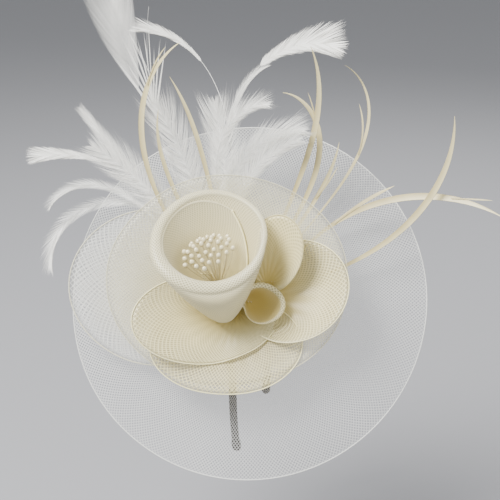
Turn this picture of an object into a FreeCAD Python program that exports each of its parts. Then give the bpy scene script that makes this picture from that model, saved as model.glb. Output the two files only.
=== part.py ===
import FreeCAD, Part

import math
import os

# A fascinator: a round crinoline brim with a rolled crinoline flower, stamens,
# feathers and stripped quills, all sewn to a small stiff base on a sprung headband.
#
# Row frame, as worn: +Z is up, +X is the way the wearer faces, and the trimming sits
# on the wearer's right, towards -Y. The origin is the inside of the band at the crown.
# Everything sewn to the base is laid out in the brim's own frame: x forward along the
# brim, y up along the brim, z out of the brim. All lengths are in millimetres.

# Headband: a springy strip wrapped in ribbon
band_radius = 70.0          # inside of the wrapped band, over the crown
arm_radius = 200.0          # the gentler curve of the arms below the hinge height
arm_bend_starts = 80.0      # degrees from the crown where the gentler curve begins
arm_bend_turn = 31.5        # degrees that the gentler curve turns inwards
core_width = 6.0
core_thickness = 1.0
wrap_thickness = 0.5
flex_angle = 78.0           # degrees from the crown where each arm bends
flex_gap = 0.9              # strip left out at the bend, for its travel
tip_length = 11.0
tip_wall = 0.5
tip_gap = 0.2               # between the end of the ribbon and the tip
ribbon_rounding = 0.4       # on the wrapped band's long edges

# Base, sewn on the band at the wearer's right
base_angle = 45.0           # degrees from the crown to the middle of the base
base_radius = 35.0          # across the dome, from its middle to its edge
base_thickness = 1.6
base_clearance = 0.6        # between the band and the dome
binding_radius = 1.1        # bias binding round the dome's edge
patch_length = 34.0         # felt patch inside the band, along the band
patch_width = 26.0
patch_thickness = 1.0
patch_clearance = 0.2
thread_radius = 0.35
patch_stitch_rows = 5
patch_stitch_inset = 2.5
whip_stitch_count = 3       # over the band at each end of the patch
whip_stitch_pitch = 2.4
whip_stitch_start = 1.9     # from the end of the patch to the first stitch
whip_clearance = 0.1        # between a whip stitch and the band

# Brim frame
brim_rise = 4.7             # from the dome's top to the middle of the brim
brim_forward = 8.0          # the brim's middle sits forward of the band
brim_azimuth = 8.0          # degrees, the brim faces slightly forward
brim_elevation = 30.0       # degrees, and upwards

# Crinoline sheets
brim_radius = 160.0
brim_droop = 10.0           # the edge falls back from the middle
brim_wave = 5.0
BRIM_WAVES = [(3, 0.6, 0.6), (5, 0.4, 2.0)]  # waves round the edge, share and phase of each
brim_grid = 20              # squares across the brim's surface
crin_thickness = 0.6
heart_x = -8.0              # the point that the flower's layers gather round
heart_y = -5.0
heart_stitch_count = 4
heart_stitch_ring = 3.0     # radius of the ring that the heart's threads stand on
thread_end = 2.0            # how far a thread runs past the last layer it holds

# Flower cup, rolled from one width of crinoline
cup_tip = (-16.0, -26.0, 31.0)
cup_tip_radius = 3.0
cup_mouth = (-25.0, 37.0, 68.0)
cup_mouth_radius = 48.0
cup_mouth_tilt = 27.0       # degrees that the mouth leans up the brim
cup_wall = 0.8
cup_belly = 0.85            # below 1 the cone rounds outwards between tip and mouth
cup_floor = 0.06            # share of the cone's height that is closed at its tip
cup_clear_mouth = 0.2       # the hollow runs this far past the mouth
roll_tip = (6.0, -8.0, 31.0)
roll_mouth = (22.0, -16.0, 42.0)
roll_radius = 12.5

# Stitches through the flower: x, y and the height that each pair reaches
stitch_pair_gap = 2.4
FLOWER_STITCHES = [
    (cup_tip[0], cup_tip[1] + 1.5, cup_tip[2] + 1.6),
    (roll_tip[0] + 0.5, roll_tip[1], roll_tip[2] + 1.2),
    (26.0, 10.0, 33.0),
    (20.0, -24.0, 26.5),
]

# Stamens
stamen_count = 38
stamen_root = (-20.0, 3.0, 40.0)
stamen_head = (-28.0, 27.0, 62.0)
stamen_spread = 24.0
pearl_radius = 1.9
stem_radius = 0.25
stalk_radius = 2.0
stalk_foot = 0.14           # how far up the cup the stalk starts, as a share of its height
tie_wall = 0.7
tie_length = 5.0
tie_clearance = 0.05
tie_below_root = 1.0        # from the top of the stalk down to the tie
golden_turn = 137.508       # degrees, spreads the stamens like seeds
stamen_fall = 0.25          # how much lower the outer stamens stand, as a share of the spread
stamen_ripple = 2.5         # uneven lengths
ripple_step = 2.4           # radians of ripple from one stamen to the next

# Feathers and quills
quill_radius = 0.55
quill_flatness = 1.1        # a quill is this much wider than it is deep
vane_thickness = 0.5
biot_thickness = 1.0
bunch_pitch = 2.0           # between neighbouring quills in a bunch
bunch_height = 7.0          # of the quills above the middle of the brim
climb = 1.7                 # how late a feather leaves the brim as it runs outwards
bunch_tie_length = 3.0
bunch_tie_wall = 0.7
bunch_tie_rounding = 0.45   # of its height
bunch_tie_ahead = 0.3       # of its length, past the row of quill ends
bunch_clearance = 0.4
bunch_spread = 1.8          # extra room in a tie for quills that fan out
sections = 12
steps_per_section = 20
BLADE_SHAPE = (0.07, 0.90, 0.8)  # root, reach and fullness of a stripped biot
VANE_SHAPE = (0.06, 0.88, 0.7)   # the same for a feather's vane

# Crinoline layers of the flower: centre x and y, half width and half height, turn in
# degrees, height over the brim at the heart, and how fast the sheet dishes outwards.
LAYERS = {
    "crin_loop_left": (-79.0, 6.0, 79.0, 70.0, 0.0, 2.4, 0.0005),
    "flower_back_layer": (-14.0, 10.0, 104.0, 91.0, 0.0, 15.0, 0.0021),
    "petal_lower_back": (-12.0, -46.0, 65.0, 43.0, 4.0, 17.5, 0.0024),
    "petal_right": (44.0, 2.0, 48.0, 44.0, 20.0, 20.0, 0.0026),
    "petal_lower_front": (-30.0, -24.0, 62.0, 39.0, 8.0, 22.5, 0.0030),
    "petal_wrap": (38.0, 28.0, 23.0, 32.0, -12.0, 25.0, 0.0042),
}

# Bunches: the middle of each row of quills, and the heading of the row in degrees.
BUNCHES = {
    "left": (-24.0, 16.0, 118.0),
    "right": (10.0, 20.0, 90.0),
    "side": (26.0, 7.0, 40.0),
}

# Feathers and stripped quills. For each: bunch, place in the row counted from the
# middle, heading in degrees, turn over its length, how late the turn comes, length,
# height of the tip over the brim, greatest width, and where the vane starts (1 is
# a bare quill for the whole length, 0 a stripped biot, a blade from root to tip).
FEATHERS = {
    "feather_arched": ("left", -6.5, 92, 94, 3.2, 256, 36, 17, 0.72),
    "feather_plume_top": ("left", -5.5, 94, 10, 2.0, 150, 38, 34, 0.30),
    "biot_left_short": ("left", -4.5, 104, 23, 4.0, 170, 66, 4.5, 0),
    "feather_thin_stem": ("left", -3.5, 107, 13, 0.7, 233, 42, 2.5, 0.80),
    "feather_plume_middle": ("left", -2.5, 110, 12, 2.0, 158, 52, 36, 0.30),
    "feather_broad": ("left", -1.5, 118, -21, 3.8, 285, 29, 40, 0.56),
    "feather_spiky_fan": ("left", -0.5, 119, -36, 2.0, 246, 58, 22, 0.60),
    "biot_left_small": ("left", 0.5, 120, -44, 4.0, 149, 64, 4.0, 0),
    "feather_white_tip": ("left", 1.5, 121, 76, 1.7, 216, 34, 15, 0.62),
    "feather_hackle_low": ("left", 2.5, 122, 168, 1.7, 216, 26, 20, 0.40),
    "feather_plume_side": ("left", 3.5, 123, 34, 1.8, 160, 42, 34, 0.32),
    "feather_narrow": ("left", 4.5, 125, 8, 0.7, 190, 40, 13, 0.45),
    "biot_left_tall": ("left", 6.5, 124, -103, 2.6, 224, 88, 5.5, 0),
    "feather_hackle_curl": ("left", 8.0, 127, 132, 3.0, 181, 41, 14, 0.40),
    "biot_right_thin": ("right", -4.5, 52, 104, 3.8, 221, 30, 3.0, 0),
    "biot_right_fork": ("right", -3.0, 57, 26, 4.0, 133, 28, 4.0, 0),
    "biot_right_inner": ("right", -1.5, 60, 124, 3.6, 180, 58, 5.5, 0),
    "biot_right_tall": ("right", 0.0, 67, 52, 4.0, 194, 84, 5.5, 0),
    "feather_slim_curl": ("right", 1.2, 105, -86, 4.0, 199, 30, 8, 0.62),
    "feather_fan_tip": ("right", 2.2, 113, -141, 2.1, 275, 60, 24, 0.74),
    "feather_fluff_low": ("right", 3.2, 122, -118, 1.2, 142, 58, 24, 0.40),
    "feather_fluff_high": ("right", 4.2, 116, -150, 2.8, 170, 96, 20, 0.45),
    "feather_fluff_middle": ("right", 5.2, 126, -138, 1.3, 168, 56, 26, 0.40),
    "biot_right_side": ("side", -1.2, 20, 76, 2.0, 224, 66, 6.0, 0),
    "biot_right_long": ("side", 1.2, 60, -94, 1.2, 228, 48, 6.5, 0),
}


def vec(x, y, z):
    return FreeCAD.Vector(x, y, z)


def polar(radius, degrees, x=0.0):
    """A point at a radius from the arch's centre, an angle round from the crown to the right."""
    turn = math.radians(degrees)
    return vec(x, -radius * math.sin(turn), radius * math.cos(turn) - band_radius)


def brim_placement():
    """The brim's frame in the row frame."""
    turn, lift = math.radians(brim_azimuth), math.radians(brim_elevation)
    out = vec(math.sin(turn) * math.cos(lift), -math.cos(turn) * math.cos(lift), math.sin(lift))
    forward = vec(math.cos(turn), math.sin(turn), 0)
    up = out.cross(forward)
    middle = polar(dome_outer() + brim_rise, base_angle) + forward * brim_forward
    m = FreeCAD.Matrix(
        forward.x, up.x, out.x, middle.x,
        forward.y, up.y, out.y, middle.y,
        forward.z, up.z, out.z, middle.z,
        0, 0, 0, 1,
    )
    return FreeCAD.Placement(m)


def in_brim_frame(shape):
    shape.transformShape(brim_placement().toMatrix())
    return shape


# ---- headband ----

def band_outer():
    return band_radius + band_thickness()


def band_thickness():
    return core_thickness + 2 * wrap_thickness


def gentle_inner():
    """The radius of the band's inner face on the arms."""
    return arm_radius - band_thickness() / 2


def dome_inner():
    return band_outer() + base_clearance


def dome_outer():
    return dome_inner() + base_thickness


def arc_edge(centre, radius, start, end):
    """An arc in the plane x = 0, from one angle to another, both from the crown to the right."""
    def at(degrees):
        turn = math.radians(degrees)
        return centre + vec(0, -radius * math.sin(turn), radius * math.cos(turn))
    return Part.Arc(at(start), at((start + end) / 2), at(end)).toShape()


def arch_centre():
    return vec(0, 0, -band_radius)


def arm_centre():
    """The centre of the gentler curve, which runs on smoothly from the arch."""
    middle = band_radius + band_thickness() / 2
    turn = math.radians(arm_bend_starts)
    reach = arm_radius - middle
    return arch_centre() + vec(0, reach * math.sin(turn), -reach * math.cos(turn))


def strip(depth_in, depth_out, width, pieces):
    """A strip of the band between two depths outside the band's inner face.
    pieces are (centre, radius of the inner face, start angle, end angle) that run on."""
    inner = [arc_edge(c, r + depth_in, a, b) for c, r, a, b in pieces]
    outer = [arc_edge(c, r + depth_out, a, b) for c, r, a, b in pieces]
    start = Part.LineSegment(inner[0].Vertexes[0].Point, outer[0].Vertexes[0].Point).toShape()
    end = Part.LineSegment(inner[-1].Vertexes[-1].Point, outer[-1].Vertexes[-1].Point).toShape()
    edges = Part.__sortEdges__(inner + outer + [start, end])
    face = Part.Face(Part.Wire(edges))
    face.translate(vec(-width / 2, 0, 0))
    return face.extrude(vec(width, 0, 0))


def flex_half_angle():
    return math.degrees(flex_gap / 2 / band_radius)


def tip_angle():
    """How much of the gentler curve the tip covers."""
    return math.degrees(tip_length / arm_radius)


def crown_pieces():
    end = flex_angle - flex_half_angle()
    return [(arch_centre(), band_radius, -end, end)]


def arm_pieces(shortened=0.0):
    """The right arm's course, from the bend to its end, less a few degrees."""
    start = flex_angle + flex_half_angle()
    end = arm_bend_starts + arm_bend_turn - shortened
    return [
        (arch_centre(), band_radius, start, arm_bend_starts),
        (arm_centre(), gentle_inner(), arm_bend_starts, end),
    ]


def core_of(pieces):
    return strip(wrap_thickness, wrap_thickness + core_thickness, core_width, pieces)


def wrap_of(pieces):
    """The ribbon round the strip, open at both ends."""
    width = core_width + 2 * wrap_thickness
    outer = strip(0, band_thickness(), width, pieces)
    level = [e for e in outer.Edges if abs(e.Vertexes[0].X - e.Vertexes[-1].X) < thread_radius]
    lengthways = [e for e in level if e.Length > 1.1 * band_thickness()]
    return outer.makeFillet(ribbon_rounding, lengthways).cut(core_of(pieces))


def other_side(shape):
    return shape.mirror(vec(0, 0, 0), vec(0, 1, 0))


def band_tip():
    """A capped end over the strip, rounded at the bottom."""
    end = arm_bend_starts + arm_bend_turn
    rounding = core_width / 2 + wrap_thickness + tip_wall
    high = end - tip_angle() + math.degrees(tip_gap / arm_radius)
    low = end + math.degrees(rounding / 2 / arm_radius)
    pieces = [(arm_centre(), gentle_inner(), high, low)]
    block = strip(-tip_wall, band_thickness() + tip_wall, 2 * rounding, pieces)
    turn = math.radians(low)
    down = vec(0, -math.cos(turn), -math.sin(turn))
    out = vec(0, -math.sin(turn), math.cos(turn))
    middle = arm_centre() + out * arm_radius - down * rounding
    deep = 4 * rounding
    round_end = Part.makeCylinder(rounding, deep, middle - out * (deep / 2), out)
    shaft = Part.makeBox(2 * rounding, 2 * tip_length, deep, vec(-rounding, 0, -deep / 2))
    shaft.Placement = FreeCAD.Placement(middle, FreeCAD.Rotation(vec(1, 0, 0), -down, out))
    block = block.common(round_end.fuse(shaft))
    return block.cut(core_of(arm_pieces()))


# ---- base ----

def dome():
    """A cap of a hollow ball round the arch's centre, cut to a round edge."""
    ball = Part.makeSphere(dome_outer(), arch_centre()).cut(
        Part.makeSphere(dome_inner(), arch_centre())
    )
    out = polar(1, base_angle) - arch_centre()
    out.normalize()
    post = Part.makeCylinder(base_radius, 2 * dome_outer(), arch_centre(), out)
    return ball.common(post)


def dome_edge_height():
    middle = (dome_inner() + dome_outer()) / 2
    return math.sqrt(middle ** 2 - base_radius ** 2)


def binding():
    out = polar(1, base_angle) - arch_centre()
    out.normalize()
    ring = Part.makeTorus(
        base_radius, binding_radius, arch_centre() + out * dome_edge_height(), out
    )
    return ring.cut(dome())


def felt_patch():
    span = math.degrees(patch_length / 2 / band_radius)
    radius = band_radius - patch_clearance - patch_thickness
    pieces = [(arch_centre(), radius, base_angle - span, base_angle + span)]
    return strip(0, patch_thickness, patch_width, pieces)


def patch_stitches():
    """Threads from the patch's two long edges up to the dome."""
    radius = band_radius - patch_clearance - patch_thickness / 2
    span = math.degrees((patch_length / 2 - patch_stitch_inset) / band_radius)
    threads = []
    for side in (-1, 1):
        x = side * (patch_width / 2 - patch_stitch_inset)
        reach = math.sqrt((dome_inner() + base_thickness / 2) ** 2 - x ** 2)
        for row in range(patch_stitch_rows):
            angle = base_angle + span * (2 * row / (patch_stitch_rows - 1) - 1)
            low, high = polar(radius, angle, x), polar(reach, angle, x)
            threads.append(Part.makeCylinder(thread_radius, (high - low).Length, low, high - low))
    return Part.makeCompound(threads)


def whip_stitch(angle):
    """One thread across the inside of the band, with its two legs up into the dome."""
    x = core_width / 2 + wrap_thickness + thread_radius + whip_clearance
    under = band_radius - thread_radius - whip_clearance
    over = math.sqrt((dome_inner() + base_thickness / 2) ** 2 - x ** 2)
    left, right = polar(under, angle, -x), polar(under, angle, x)
    bar = Part.makeCylinder(thread_radius, 2 * x, left, right - left)
    for foot, side in ((left, -x), (right, x)):
        leg = polar(over, angle, side) - foot
        bar = bar.fuse(Part.makeCylinder(thread_radius, leg.Length, foot, leg))
        bar = bar.fuse(Part.makeSphere(thread_radius, foot))
    return bar.removeSplitter()


def whip_stitches():
    stitches = []
    first = patch_length / 2 + whip_stitch_start
    for side in (-1, 1):
        for n in range(whip_stitch_count):
            along = math.degrees((first + whip_stitch_pitch * n) / band_radius)
            stitches.append(whip_stitch(base_angle + side * along))
    return Part.makeCompound(stitches)


# ---- crinoline ----

def brim_height(x, y):
    """The brim falls back towards its edge, in soft waves."""
    share = math.hypot(x, y) / brim_radius
    turn = math.atan2(y, x)
    wave = sum(part * math.sin(count * turn + phase) for count, part, phase in BRIM_WAVES)
    return share ** 2 * (brim_wave * wave * share - brim_droop)


def brim():
    side = brim_radius * 1.1
    grid = []
    for i in range(brim_grid + 1):
        x = side * (2 * i / brim_grid - 1)
        row = []
        for j in range(brim_grid + 1):
            y = side * (2 * j / brim_grid - 1)
            row.append(vec(x, y, brim_height(x, y)))
        grid.append(row)
    surface = Part.BSplineSurface()
    surface.interpolate(grid)
    slab = surface.toShape().extrude(vec(0, 0, crin_thickness))
    post = Part.makeCylinder(brim_radius, 8 * brim_droop, vec(0, 0, -4 * brim_droop))
    return in_brim_frame(slab.common(post))


def dish_height(height, dishing, x, y):
    return height + dishing * ((x - heart_x) ** 2 + (y - heart_y) ** 2)


def ellipse_post(x, y, half_width, half_height, turn, low, high):
    major, minor = max(half_width, half_height), min(half_width, half_height)
    ring = Part.Wire(Part.Ellipse(vec(0, 0, 0), major, minor).toShape())
    if half_height > half_width:
        ring.rotate(vec(0, 0, 0), vec(0, 0, 1), 90)
    ring.rotate(vec(0, 0, 0), vec(0, 0, 1), turn)
    ring.translate(vec(x, y, low))
    return Part.Face(ring).extrude(vec(0, 0, high - low))


def dished_sheet(x, y, half_width, half_height, turn, height, dishing):
    """A dish round the heart, cut to an oval."""
    reach = math.hypot(x - heart_x, y - heart_y) + max(half_width, half_height) + 2
    points = [
        vec(reach * n / 4, 0, height + dishing * (reach * n / 4) ** 2) for n in range(5)
    ]
    curve = Part.BSplineCurve()
    curve.interpolate(points)
    low = curve.toShape()
    top = low.copy()
    lift = vec(0, 0, crin_thickness)
    top.translate(lift)
    inner = Part.LineSegment(points[0], points[0] + lift).toShape()
    outer = Part.LineSegment(points[-1], points[-1] + lift).toShape()
    face = Part.Face(Part.Wire(Part.__sortEdges__([low, outer, top, inner])))
    dish = face.revolve(vec(0, 0, 0), vec(0, 0, 1), 360)
    dish.translate(vec(heart_x, heart_y, 0))
    high = height + dishing * reach ** 2 + crin_thickness + 1
    post = ellipse_post(x, y, half_width, half_height, turn, height - 1, high)
    return in_brim_frame(dish.common(post))


def ring_at(middle, radius, normal):
    return Part.Wire(Part.Circle(middle, normal, radius).toShape())


def rolled_cone(tip, tip_radius, mouth, mouth_radius, mouth_normal):
    """A hollow cone with one open end, rounded out between tip and mouth."""
    axis = mouth - tip
    start = FreeCAD.Vector(axis)
    start.normalize()

    def rings(inset, first, lift):
        made = []
        for t in (first, 0.25, 0.5, 0.75, 1):
            normal = start * (1 - t) + mouth_normal * t
            normal.normalize()
            radius = tip_radius + (mouth_radius - tip_radius) * t ** cup_belly - inset
            middle = tip + axis * t + normal * (lift * t)
            made.append(ring_at(middle, radius, normal))
        return made

    outer = Part.makeLoft(rings(0, 0, 0), True, False)
    inner = Part.makeLoft(rings(cup_wall, cup_floor, cup_clear_mouth), True, False)
    return in_brim_frame(outer.cut(inner))


def flower_cup():
    tilt = math.radians(cup_mouth_tilt)
    normal = vec(0, math.sin(tilt), math.cos(tilt))
    return rolled_cone(
        vec(*cup_tip), cup_tip_radius, vec(*cup_mouth), cup_mouth_radius, normal
    )


def petal_roll():
    tip, mouth = vec(*roll_tip), vec(*roll_mouth)
    axis = mouth - tip
    axis.normalize()
    return rolled_cone(tip, cup_tip_radius / 2, mouth, roll_radius, axis)


def centre_stitches():
    """Threads through every layer at the heart, down into the dome."""
    top = LAYERS["petal_lower_front"][5] + thread_end
    bottom = -(brim_rise + base_thickness * 3)
    threads = []
    for n in range(heart_stitch_count):
        turn = 2 * math.pi * (n + 0.5) / heart_stitch_count
        x = heart_x + heart_stitch_ring * math.cos(turn)
        y = heart_y + heart_stitch_ring * math.sin(turn)
        threads.append(Part.makeCylinder(thread_radius, top - bottom, vec(x, y, bottom)))
    inside = Part.makeSphere(dome_inner() + base_thickness / 2, arch_centre())
    return in_brim_frame(Part.makeCompound(threads)).cut(inside)


def flower_stitches():
    """Pairs of threads that hold the cup, the roll and the upper petals to the back layer."""
    threads = []
    back = LAYERS["flower_back_layer"]
    for x, y, top in FLOWER_STITCHES:
        bottom = dish_height(back[5], back[6], x, y) - thread_end / 2
        for side in (-1, 1):
            foot = vec(x + side * stitch_pair_gap / 2, y, bottom)
            threads.append(Part.makeCylinder(thread_radius, top - bottom, foot))
    return in_brim_frame(Part.makeCompound(threads))


# ---- stamens ----

def stamen_spots():
    """For each stamen, its foot in the tie and the middle of its pearl, spread like seeds."""
    root, head = vec(*stamen_root), vec(*stamen_head)
    along = head - root
    along.normalize()
    side = vec(1, 0, 0) - along * along.x
    side.normalize()
    up = along.cross(side)
    spots = []
    for n in range(stamen_count):
        share = math.sqrt((n + 0.5) / stamen_count)
        turn = math.radians(golden_turn * n)
        spread = side * math.cos(turn) + up * math.sin(turn)
        foot = root + spread * (share * (stalk_radius - stem_radius))
        fall = along * (stamen_spread * stamen_fall * share ** 2)
        ripple = along * (stamen_ripple * math.sin(ripple_step * n))
        spots.append((foot, head + spread * (share * stamen_spread) - fall + ripple))
    return spots


def stamen_stems():
    stems = []
    for foot, head in stamen_spots():
        run = head - foot
        length = run.Length - pearl_radius
        stems.append(Part.makeCylinder(stem_radius, length, foot, run))
    return in_brim_frame(Part.makeCompound(stems))


def stamen_pearls():
    pearls = [Part.makeSphere(pearl_radius, head) for _, head in stamen_spots()]
    return in_brim_frame(Part.makeCompound(pearls))


def stalk_ends():
    tip, mouth = vec(*cup_tip), vec(*cup_mouth)
    return tip + (mouth - tip) * stalk_foot, vec(*stamen_root)


def stamen_stalk():
    """The stems' twisted lower ends, as one stalk down to the cup's tip."""
    foot, top = stalk_ends()
    return in_brim_frame(Part.makeCylinder(stalk_radius, (top - foot).Length, foot, top - foot))


def stamen_tie():
    """Thread wound round the top of the stalk."""
    foot, top = stalk_ends()
    along = top - foot
    along.normalize()
    start = top - along * (tie_length + tie_below_root)
    inner = stalk_radius + tie_clearance
    ring = Part.makeCylinder(inner + tie_wall, tie_length, start, along)
    return in_brim_frame(ring.cut(Part.makeCylinder(inner, tie_length, start, along)))


# ---- feathers ----

def bunch_spot(bunch, place):
    """Where a quill starts in its bunch's row."""
    x, y, heading = BUNCHES[bunch]
    across = math.radians(heading + 90)
    return vec(
        x + place * bunch_pitch * math.cos(across),
        y + place * bunch_pitch * math.sin(across),
        bunch_height,
    )


def quill_course(bunch, place, heading, turn, lateness, length, tip_height):
    """Points along a quill, with the direction of its width at each."""
    at = bunch_spot(bunch, place)
    steps = sections * steps_per_section
    course = []
    for n in range(steps + 1):
        share = n / steps
        angle = math.radians(heading + turn * share ** lateness)
        height = bunch_height + (tip_height - bunch_height) * share ** climb
        if n % steps_per_section == 0:
            across = vec(-math.sin(angle), math.cos(angle), 0)
            course.append((vec(at.x, at.y, height), across, share))
        at = at + vec(math.cos(angle), math.sin(angle), 0) * (length / steps)
    return course


def blade_half_width(share, width):
    """A stripped biot: narrow at its root, widest past the middle, pointed at its tip."""
    root, reach, fullness = BLADE_SHAPE
    swell = math.sin(math.pi * (root + reach * share)) ** fullness
    return max(quill_radius, width / 2 * swell)


def vane_half_width(share, width, vane_start):
    """A bare quill, then a leaf-shaped vane."""
    bare = quill_radius * quill_flatness
    if share <= vane_start:
        return bare
    root, reach, fullness = VANE_SHAPE
    along = (share - vane_start) / (1 - vane_start)
    swell = math.sin(math.pi * (root + reach * along)) ** fullness
    return max(bare, width / 2 * swell)


def feather(bunch, place, heading, turn, lateness, length, tip_height, width, vane_start):
    rings = []
    for middle, across, share in quill_course(
        bunch, place, heading, turn, lateness, length, tip_height
    ):
        if vane_start == 0:
            half = blade_half_width(share, width)
            depth = biot_thickness / 2
        else:
            half = vane_half_width(share, width, vane_start)
            depth = vane_thickness / 2 if share > vane_start else quill_radius
        oval = Part.Ellipse(middle + across * half, middle + vec(0, 0, depth), middle)
        rings.append(Part.Wire(oval.toShape()))
    return in_brim_frame(Part.makeLoft(rings, True, True))


def bunch_tie(bunch):
    """A flat whipping of thread round a row of quills."""
    x, y, heading = BUNCHES[bunch]
    places = [f[1] for f in FEATHERS.values() if f[0] == bunch]
    half = max(abs(p) for p in places) * bunch_pitch + quill_radius + bunch_spread
    room = quill_radius + bunch_clearance

    def sleeve(extra, length):
        width = 2 * (half + extra)
        height = 2 * (room + extra)
        box = Part.makeBox(length, width, height, vec(-length / 2, -width / 2, -height / 2))
        lengthways = []
        for edge in box.Edges:
            if abs(edge.Vertexes[0].X - edge.Vertexes[1].X) > length / 2:
                lengthways.append(edge)
        return box.makeFillet(height * bunch_tie_rounding, lengthways)

    tie = sleeve(bunch_tie_wall, bunch_tie_length).cut(sleeve(0, bunch_tie_length * 2))
    tie.rotate(vec(0, 0, 0), vec(0, 0, 1), heading)
    ahead = math.radians(heading)
    reach = bunch_tie_length * bunch_tie_ahead
    tie.translate(vec(x + reach * math.cos(ahead), y + reach * math.sin(ahead), bunch_height))
    return in_brim_frame(tie)


def all_nodes():
    nodes = {
        "band_core_crown": core_of(crown_pieces()),
        "band_core_arm_right": core_of(arm_pieces()),
        "band_core_arm_left": other_side(core_of(arm_pieces())),
        "band_wrap_crown": wrap_of(crown_pieces()),
        "band_wrap_arm_right": wrap_of(arm_pieces(tip_angle())),
        "band_wrap_arm_left": other_side(wrap_of(arm_pieces(tip_angle()))),
        "band_tip_right": band_tip(),
        "band_tip_left": other_side(band_tip()),
        "felt_patch": felt_patch(),
        "patch_stitches": patch_stitches(),
        "band_whip_stitches": whip_stitches(),
        "base_dome": dome(),
        "base_binding": binding(),
        "crin_brim": brim(),
        "flower_cup": flower_cup(),
        "petal_roll": petal_roll(),
        "centre_stitches": centre_stitches(),
        "flower_stitches": flower_stitches(),
        "stamen_stems": stamen_stems(),
        "stamen_pearls": stamen_pearls(),
        "stamen_stalk": stamen_stalk(),
        "stamen_tie": stamen_tie(),
    }
    for bunch in BUNCHES:
        nodes[f"feather_tie_{bunch}"] = bunch_tie(bunch)
    for name, sizes in LAYERS.items():
        nodes[name] = dished_sheet(*sizes)
    for name, sizes in FEATHERS.items():
        nodes[name] = feather(*sizes)
    return nodes


os.makedirs("parts", exist_ok=True)
for name, shape in all_nodes().items():
    shape.exportStep(f"parts/{name}.step")
    solids = shape.Solids
    box = shape.BoundBox
    print(
        f"{name}: {len(solids)} solid(s), {shape.Volume:.1f} mm3, valid {shape.isValid()},"
        f" x {box.XMin:.0f}..{box.XMax:.0f} y {box.YMin:.0f}..{box.YMax:.0f}"
        f" z {box.ZMin:.0f}..{box.ZMax:.0f}"
    )
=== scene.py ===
"""A crinoline fascinator: a wide round brim with a rolled flower, stamens, feathers and
stripped quills on a sprung headband. Run as a script, it builds the looks round the frame."""

from math import asin, atan2, copysign, cos, degrees, hypot, pi, radians, sin, sqrt, tau
import random

import bmesh
import bpy
from mathutils import Matrix, Vector


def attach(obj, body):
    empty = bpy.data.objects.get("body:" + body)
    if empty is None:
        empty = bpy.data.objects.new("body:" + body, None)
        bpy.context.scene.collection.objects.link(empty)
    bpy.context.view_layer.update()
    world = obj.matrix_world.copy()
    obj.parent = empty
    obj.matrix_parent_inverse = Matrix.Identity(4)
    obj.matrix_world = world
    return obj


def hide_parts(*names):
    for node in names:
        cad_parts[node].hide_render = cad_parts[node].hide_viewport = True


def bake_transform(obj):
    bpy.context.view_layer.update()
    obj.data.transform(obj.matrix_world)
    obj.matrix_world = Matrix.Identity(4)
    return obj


bl_info = {
    "name": "Crinoline Fascinator",
    "version": (1, 0, 0),
    "blender": (4, 5, 0),
    "location": "3D View > Sidebar > Fascinator",
    "description": "Builds a crinoline fascinator on its headband",
    "category": "Object",
}

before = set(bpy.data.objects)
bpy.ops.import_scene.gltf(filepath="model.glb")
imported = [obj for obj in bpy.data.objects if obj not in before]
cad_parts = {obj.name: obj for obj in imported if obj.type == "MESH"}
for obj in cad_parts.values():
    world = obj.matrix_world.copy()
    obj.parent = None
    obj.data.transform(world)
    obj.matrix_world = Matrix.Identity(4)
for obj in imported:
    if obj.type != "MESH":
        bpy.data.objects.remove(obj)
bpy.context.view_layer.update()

MM = 0.001
GOLDEN_TURN = radians(137.508)

# Points nearer than this are merged: in a tube, in a sheet made in millimetres, and in a
# shape made in metres.
TUBE_MERGE = 1e-5
SHEET_MERGE = 1e-3
METRE_MERGE = 1e-6

# Headband: where its curve eases and where an arm ends, measured from the crown, how much
# of an arm's end its cap takes, and the angle of an arm's hinge.
ARM_BEND = radians(80)
ARM_END = radians(111.5)
CAP_LENGTH = 0.011
HINGE = radians(78)

# Base: its gap over the band and its thickness.
BASE_GAP = 0.0006
BASE_THICKNESS = 0.0016

# Crinoline: how much thicker its threads look where it is gathered, and how sharp they are.
THREAD_SWELL = 0.12
THREAD_SHARPNESS = 6.0

# Petals: the grid of both their layers, the radius of a hem, and pleats round the root.
PETAL_GRID = (120, 40)
HEM_RADIUS = 0.55
PLEATS = 26

# Cup and roll: the shares of a section taken by the inner wall and by the rim, and the
# side where an uneven rim is fullest.
INNER_SHARE = 0.44
RIM_SHARE = 0.16
FULL_SIDE = radians(225)

# Feathers: barbs that part together, the barbs of one spike of the fan, and the outlines
# of some kinds of vane, where each starts on half a wave, how much of it it uses and how
# full it is.
CLUMP = 9
SPIKE = 8
OUTLINES = {"plume": (0.12, 0.80, 0.6), "blade": (0.02, 0.90, 0.75)}

# Flower layers: centre x and y, half width and half height, turn in degrees, height over
# the brim at the heart, how fast the sheet dishes, all in the brim's frame in millimetres.
LAYERS = {
    "crin_loop_left": (-79.0, 6.0, 79.0, 70.0, 0.0, 2.4, 0.0005),
    "flower_back_layer": (-14.0, 10.0, 104.0, 91.0, 0.0, 15.0, 0.0021),
    "petal_lower_back": (-12.0, -46.0, 65.0, 43.0, 4.0, 17.5, 0.0024),
    "petal_right": (44.0, 2.0, 48.0, 44.0, 20.0, 20.0, 0.0026),
    "petal_lower_front": (-30.0, -24.0, 62.0, 39.0, 8.0, 22.5, 0.0030),
    "petal_wrap": (26.0, 33.0, 25.0, 32.0, -10.0, 25.0, 0.0036),
}

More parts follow.
